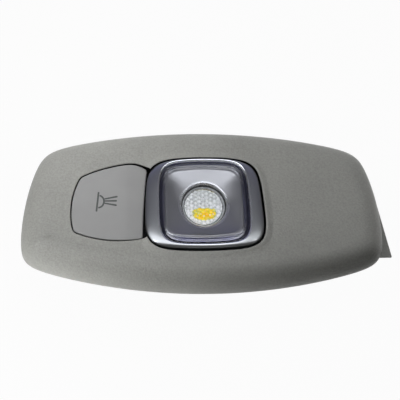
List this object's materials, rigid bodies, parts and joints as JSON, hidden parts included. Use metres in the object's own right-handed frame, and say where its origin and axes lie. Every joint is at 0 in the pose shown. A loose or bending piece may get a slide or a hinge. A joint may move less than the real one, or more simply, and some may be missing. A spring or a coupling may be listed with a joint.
{
  "type": "interior reading light",
  "caption": "Curved roof-lining bezel with a framed square reading lamp, a round fly-eye beam lens and a press key beside it.",
  "frame": {"origin": "middle of the back cover's flat outer face, straight behind the middle of the lamp", "axes": "+Z out of the lit face, +X along the length away from the key, +Y to the upper edge of the face"},
  "size_m": [0.1577, 0.0725, 0.0303],
  "materials": {
    "bezel": "fine-grained warm grey",
    "trim_ring": "satin chrome plating",
    "lens": null,
    "reflector": "satin metallised plastic",
    "beam_lens": "clear acrylic with a fly-eye front",
    "press_key": "smooth grey with a soft-touch coat",
    "carrier": "black, fine spark-eroded",
    "back_cover": "black, fine spark-eroded",
    "circuit_board": "green solder mask",
    "led_base": "white ceramic",
    "led_phosphor": "yellow phosphor in silicone",
    "driver_chip": "black moulding compound",
    "inductor": "dark ferrite",
    "capacitor": "tan ceramic",
    "resistor": "black with tinned ends",
    "switch_body": "pale grey nylon",
    "switch_plunger": "white acetal",
    "connector_shroud": "dark grey nylon",
    "contact": "gold-plated brass",
    "screw": "zinc-plated steel",
    "spring_clip": "spring steel strip"
  },
  "bodies": {
    "housing": {"bezel": "bezel", "trim_ring": "trim_ring", "lens": "lens", "reflector": "reflector", "beam_lens": "beam_lens", "carrier": "carrier", "back_cover": "back_cover", "circuit_board": "circuit_board", "led_base": "led_base", "led_phosphor": "led_phosphor", "driver_chip": "driver_chip", "inductor": "inductor", "capacitor": "capacitor", "resistor_1": "resistor", "resistor_2": "resistor", "resistor_3": "resistor", "switch_body": "switch_body", "connector_shroud": "connector_shroud", "contact_1": "contact", "contact_2": "contact", "contact_3": "contact", "contact_4": "contact", "housing_screws": "screw", "board_screws": "screw", "spring_clip_upper": "spring_clip", "spring_clip_lower": "spring_clip"},
    "key": {"press_key": "press_key"},
    "plunger": {"switch_plunger": "switch_plunger"}
  },
  "joints": [
    {"name": "key_press", "type": "hinge", "parent": "housing", "child": "key", "pos_m": [-0.0284, 0, 0.0222], "axis": [0, -1, 0], "range_deg": [0, 2.5], "stiffness_Nm_per_rad": 1, "springref_deg": -0.57},
    {"name": "plunger_slide", "type": "slide", "parent": "housing", "child": "plunger", "axis": [0, 0, -1], "range_m": [0, 0.00064], "stiffness_N_per_m": 0.25, "springref_m": -0.0024}
  ],
  "couplings": [
    {"joint": "plunger_slide", "follows": "key_press", "m_per_rad": 0.0146}
  ]
}
